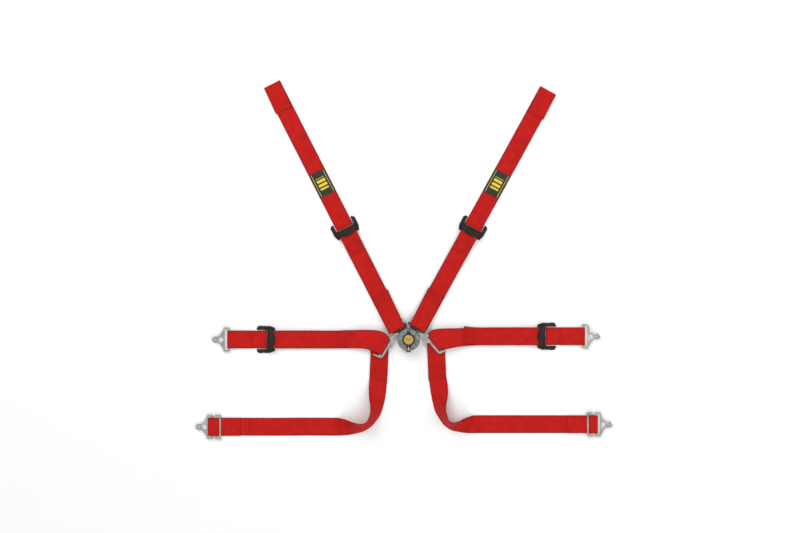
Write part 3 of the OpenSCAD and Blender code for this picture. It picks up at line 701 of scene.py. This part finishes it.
def lap_inner(side):
    sign = -1 if side == "left" else 1
    u = Vector((sign, 0, 0))
    bar = joint_place(side + "_lap_swing")
    bar.z = 0
    bar_u = outward(side + "_lap_swing")
    level = Vector((0, LAP_Y[side], 0))
    fix = abs(joint_place(side + "_lap_lever_tilt").x) + 6 + FRAME_BAR
    seam = abs(LAP_SEAM[side])
    low_x = LAP_LOW_X[side]
    lean = Z.cross(u)

    def askew(at):
        share = max(0.0, 1 - (at - seam) / 45)
        return LAP_SKEW[side] * share * share * (lean.y or 1)

    def height(at, layer):
        return lap_level(at, low_x) + 1.05 + layer * LAYER_STEP

    spots = [seam, seam + 8, seam + 18, seam + 30, seam + 45]
    out = rows_of(level, u, [(s, height(s, 1)) for s in spots] + [(fix - 22, OVER),
                  (fix - 4, 10.0)], offset=askew)
    end = rows_of(level, u, arc((fix, LEVEL["frame"]), LOOP["frame"], 90, -90))
    back = rows_of(level, u, [(abs(low_x) + 26, UNDER)])
    stations = []
    for p, q in zip(LAP_UPPER[side], LAP_LOWER[side]):
        p, q = Vector((*p, 0)), Vector((*q, 0))
        half = (p - q) / 2 * (1 if lean.y > 0 else -1)
        stations.append([(p + q) / 2, half])
    run = []
    for row in reversed(stations):
        x = row[0].x
        inner = abs(x) < seam - 2
        z = lap_level(x, low_x) + 1.05 + (LAYER_STEP if inner else 0.0)
        run.append([row[0] + Z * z, row[1].copy()])
    run[-1][0].z = LAP_FOLD_TOP
    fold = rows_of(bar, bar_u, arc((0, LEVEL["tongue"]), LOOP["tongue"], 90, 270), half=LAP_FOLD_HALF)
    under = []
    for row in stations[:-1]:
        if abs(row[0].x) < seam - 4:
            under.append([row[0] + Z * (lap_level(row[0].x, low_x) + 1.0), row[1].copy()])
    under[0][0].z = LAP_FOLD_LOW
    rows = subdivide(soften(out) + end + soften(back + run, 3) + fold + soften(under, 3), 4.0)
    strap = Strap(side + "_lap_inner_webbing", rows, seed=21.0 if side == "left" else 27.0)
    finish_strap(strap, side + "_lap_strap", side + "_lap_inner_strap",
                 runs=block_runs(3, 33))


LAP_ANCHOR_SEWN = 66
LAP_TAIL = 140


def lap_anchor(side):
    u = outward(side + "_lap_bracket_swing")
    bracket = joint_place(side + "_lap_bracket_swing")
    adjuster = abs(joint_place(side + "_lap_lever_tilt").x) + 6
    bar = bracket.copy()
    bar.z = 0
    tail = adjuster - LAP_TAIL - abs(bracket.x)
    main = rows_of(bar, u, [(tail, LAYER_MID), (-2, LAYER_MID)])
    fold = rows_of(bar, u, arc((0, LEVEL["end"]), LOOP["end"], -90, 90))
    back = soften(rows_of(bar, u, [(-2.5, 7.1), (-20, 3.2), (-LAP_ANCHOR_SEWN, SECOND_LAYER)]))
    rows = subdivide(main + fold + back, 4.0)
    strap = Strap(side + "_lap_anchor_webbing", rows, seed=33.0 if side == "left" else 39.0)
    finish_strap(strap, side + "_lap_anchor", side + "_lap_anchor_strap",
                 runs=block_runs(strap.length - 40, strap.length - 4))


CROTCH_LINK = {"left": (Vector((-81, -21, 0)), -92.5), "right": (Vector((77, -15, 0)), -87.5)}
# Points of each crotch strap's route, and how far it stands up on its outer edge
CROTCH_ROUTE = {
    "left": [(-85, -110, 0), (-87, -135, 8), (-88, -165, 26), (-89, -186, 44), (-94, -210, 55),
             (-109, -235, 64), (-131, -247, 57), (-158, -249, 40), (-189, -247, 12),
             (-220, -247, 0), (-430, -247, 0)],
    "right": [(81, -105, 0), (85, -130, 4), (87, -155, 20), (87, -178, 42), (90, -201, 54),
              (105, -232, 66), (124, -243, 57), (143, -244, 45), (176, -241, 12),
              (206, -240, 0), (410, -240, 0)],
}
CROTCH_SLACK = {"left": 3.2, "right": 1.4}      # how far the end fold stands off its bar
CROTCH_SEWN = 100
CROTCH_TAIL = 80
SLIDE_OVER = 7.85                  # middle of the layer over the slide's first two bars


def spline(p, t):
    """A point on a smooth curve through the points p, t from 0 to len(p) - 1."""
    i = min(int(t), len(p) - 2)
    f = t - i
    a, b, c, d = (Vector(p[k]) for k in (max(i - 1, 0), i, i + 1, min(i + 2, len(p) - 1)))
    return 0.5 * (2 * b + (c - a) * f + (2 * a - 5 * b + 4 * c - d) * f * f
                  + (3 * b - a - 3 * c + d) * f * f * f)


def crotch(side):
    turn = 1 if side == "left" else -1
    route = CROTCH_ROUTE[side]
    link, angle = CROTCH_LINK[side]
    u = Vector((math.cos(math.radians(angle)), math.sin(math.radians(angle)), 0))
    out = outward(side + "_crotch_bracket_swing")
    bar = joint_place(side + "_crotch_bracket_swing")
    bar.z = 0
    # From the end on top, round the link's bar, and down along the route
    top = soften(rows_of(link, u, [(CROTCH_SEWN, 3.2), (22, 3.2), (3, 6.6)]))
    fold = rows_of(link, u, arc((0, LEVEL["link"]), LOOP["tongue"], 90, 270))
    start = rows_of(link, u, [(3, 1.1), (60, 1.1)])
    middle = []
    steps = 6
    for i in range((len(route) - 1) * steps + 1):
        t = i / steps
        here = spline(route, t)
        ahead, behind = spline(route, min(t + 0.05, len(route) - 1)), spline(route, max(t - 0.05, 0))
        along = (ahead - behind).xy.normalized()
        inner = Vector((along.y, -along.x)) * turn
        lean = math.radians(max(here.z, 0.0))
        half = Vector((inner.x * math.cos(lean), inner.y * math.cos(lean),
                       math.sin(lean))) * (WEB_W / 2)
        z = abs(half.z) + 1.05 * math.cos(lean) + 0.05
        middle.append([Vector((here.x, here.y, z)), -half * turn])
    end = rows_of(bar, out, [(-60, LAYER_MID + 0.05), (-2, LAYER_MID)])
    slack = CROTCH_SLACK[side]
    loop = rows_of(bar, out, [(p[0] * slack, p[1])
                              for p in arc((0, LEVEL["end"]), LOOP["end"], -90, 90)])
    back = soften(rows_of(bar, out, [(-2.5, 7.5), (-7, SLIDE_OVER), (-18, SLIDE_OVER), (-21, 3.2),
                                     (-40, SECOND_LAYER), (-CROTCH_TAIL, SECOND_LAYER)]), 2)
    rows = subdivide(top + fold + start + middle + end + loop + back, 4.0)
    strap = Strap(side + "_crotch_webbing", rows, seed=45.0 if side == "left" else 52.0)
    finish_strap(strap, side + "_crotch", side + "_crotch_strap",
                 under=block_runs(4, 40, waves=5),
                 runs=block_runs(strap.length - 36, strap.length - 4))


for side in SIDES:
    shoulder_lower(side)
    shoulder_upper(side)
    lap_inner(side)
    lap_anchor(side)
    crotch(side)


# Hardware -------------------------------------------------------------------------

BUCKLE = {
    "back_plate": ("buckle", "housing_grey", 0.4),
    "housing": ("buckle", "housing_grey", 0.6),
    "knob": ("knob", "knob_metal", 0.5),
    "knob_bezel": ("knob", "bezel_black", 0.3),
    "centre_cap": ("knob", "cap_yellow", 0.35),
    "indicator_rivet": ("knob", "plated_steel", 0.25),
    "pointer_insert": ("knob", "pointer_grey", 0.2),
}
for node, (body, slot, bevel) in BUCKLE.items():
    refine(node, body, slot, bevel)
for side in SIDES:
    refine(side + "_shoulder_tongue", "buckle", "plated_steel", 0.45,
           material=MATERIALS["tongue_steel"])
    refine(side + "_lap_tongue", "buckle", "plated_steel", 0.6)
    refine(side + "_crotch_rivet", "buckle", "plated_steel", 0.3)
    refine(side + "_crotch_link", side + "_crotch", "plated_steel", 0.45)
    refine(side + "_crotch_slide", side + "_crotch", "plated_steel", 0.4)
    refine(side + "_crotch_bracket", side + "_crotch_end", "plated_steel", 0.5)
    refine(side + "_lap_bracket", side + "_lap_end", "plated_steel", 0.5)
    for strap in ("shoulder", "lap"):
        name = f"{side}_{strap}"
        refine(name + "_adjuster_frame", name + "_strap", "adjuster_black", 0.35)
        refine(name + "_adjuster_bar", name + "_strap", "adjuster_bar", 0.3)
        refine(name + "_adjuster_lever", name + "_lever", "adjuster_black", 0.4)

# CAD pieces that show as they are
SHOWN = {"back_plate_screws": "screw_black", "tongue_guide": "inner_steel",
         "centre_post": "inner_steel", "return_spring": "spring",
         "cam_plate": "inner_steel", "latch_plate": "inner_steel"}
for node, slot in SHOWN.items():
    piece = frame["nodes"][node]
    piece.data.materials.clear()
    piece.data.materials.append(MATERIALS[slot])


def latch_springs():
    """The pins' springs, held under the housing's roof."""
    mesh = frame["nodes"]["latch_springs"].data.copy()
    mesh.materials.clear()
    piece = make_object("latch_springs_look", mesh, MATERIALS["spring"])
    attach(piece, "buckle")
    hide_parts("latch_springs")
    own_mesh(piece)


latch_springs()


# Labels ---------------------------------------------------------------------------

def label_material():
    """Black woven label: a yellow line near each long edge and a plain geometric mark."""
    n = Nodes("label_black_yellow")
    place = n.add("ShaderNodeAttribute", attribute_name="web").outputs["Vector"]
    split = n.add("ShaderNodeSeparateXYZ")
    n.link(place, split.inputs[0])
    across, along = split.outputs[0], split.outputs[1]

    def band(value, low, high):
        return n.math("MULTIPLY", n.math("GREATER_THAN", value, low),
                      n.math("LESS_THAN", value, high))

    side = n.math("ABSOLUTE", across)
    end = n.math("ABSOLUTE", along)
    lines = n.math("MULTIPLY", band(side, 18.6, 19.8), n.math("LESS_THAN", end, 33.5))
    # Plain bars across the label
    bars = n.math("PINGPONG", n.math("ADD", along, 4.0), 6.0)
    mark = n.math("MULTIPLY", n.math("LESS_THAN", bars, 3.9),
                  n.math("MULTIPLY", n.math("LESS_THAN", end, 17.5),
                         n.math("LESS_THAN", side, 13.0)))
    ink = n.math("MAXIMUM", lines, mark)
    weave = n.math("ADD", n.math("SINE", n.math("MULTIPLY", across, 9.0)),
                   n.math("SINE", n.math("MULTIPLY", along, 11.0)))
    colour = n.mix(ink, (0.012, 0.011, 0.010), (0.78, 0.58, 0.02))
    return n.finish(colour, 0.62, n.bump(weave, 0.00008, 0.5), Sheen_Weight=0.15)


LABEL_MATERIAL = label_material()
LABEL_AT = 461
LABEL_LEN = 73


def label(side):
    bar = joint_place(side + "_shoulder_swing")
    bar.z = 0
    u = outward(side + "_shoulder_swing")
    low, high = LABEL_AT - LABEL_LEN / 2, LABEL_AT + LABEL_LEN / 2
    rows = rows_of(bar, u, [(low, 2.32), (low + 1.5, 2.36), (high - 1.5, 2.36), (high, 2.32)],
                   half=WEB_W / 2 - 0.6)
    strap = Strap(side + "_label", subdivide(rows, 3.0), wobble=0.15, seed=60.0, thick=0.42)
    piece = strap.build(LABEL_MATERIAL)
    for item in piece.data.attributes["web"].data:
        item.vector = (item.vector[0], item.vector[1] - LABEL_LEN / 2, item.vector[2])
    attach(piece, side + "_shoulder_upper")
    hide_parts(side + "_shoulder_label")


for side in SIDES:
    label(side)


# Floor, light and camera ------------------------------------------------------------

def build_floor():
    mesh = bpy.data.meshes.new("floor")
    size = 12.0
    mesh.from_pydata([(-size, -size, -0.0004), (size, -size, -0.0004), (size, size, -0.0004),
                      (-size, size, -0.0004)], [], [(0, 1, 2, 3)])
    n = Nodes("floor_white")
    floor = make_object("floor", mesh, n.finish(roughness=0.9, Specular_IOR_Level=0.0,
                                                Base_Color=(0.93, 0.93, 0.93, 1)))


def area_light(name, place, target, size, power):
    data = bpy.data.lights.new(name, "AREA")
    data.shape = "RECTANGLE"
    data.size, data.size_y = size
    data.energy = power
    made = bpy.data.objects.new(name, data)
    bpy.context.scene.collection.objects.link(made)
    made.location = place
    made.rotation_euler = (Vector(target) - Vector(place)).to_track_quat("-Z", "Y").to_euler()


build_floor()
area_light("key", (-1.6, 2.6, 2.6), (0, 0.1, 0), (2.4, 1.8), 62)
area_light("fill", (2.6, 0.6, 2.4), (0, 0.1, 0), (2.2, 2.2), 26)
area_light("front", (0.2, -2.8, 2.2), (0, 0.1, 0), (2.6, 1.6), 22)

world = bpy.data.worlds.new("studio")
world.use_nodes = True
sky = world.node_tree
background = sky.nodes["Background"]
sky_place = sky.nodes.new("ShaderNodeTexCoord")
sky_split = sky.nodes.new("ShaderNodeSeparateXYZ")
sky_ramp = sky.nodes.new("ShaderNodeValToRGB")
sky_ramp.color_ramp.elements[0].position = 0.08
sky_ramp.color_ramp.elements[0].color = (0.16, 0.16, 0.17, 1)
sky_ramp.color_ramp.elements[1].position = 0.85
sky_ramp.color_ramp.elements[1].color = (1, 1, 1, 1)
sky.links.new(sky_place.outputs["Generated"], sky_split.inputs[0])
sky.links.new(sky_split.outputs[2], sky_ramp.inputs["Fac"])
sky.links.new(sky_ramp.outputs["Color"], background.inputs["Color"])
background.inputs["Strength"].default_value = 0.85
bpy.context.scene.world = world
bpy.context.scene.view_settings.view_transform = "Standard"

camera_data = bpy.data.cameras.new("camera")
camera_data.lens = 50
camera_data.sensor_width = 36
camera_data.clip_start, camera_data.clip_end = 0.05, 60
camera = bpy.data.objects.new("camera", camera_data)
camera.location = (-0.024, 0.2045, 3.133)
bpy.context.scene.collection.objects.link(camera)
bpy.context.scene.camera = camera
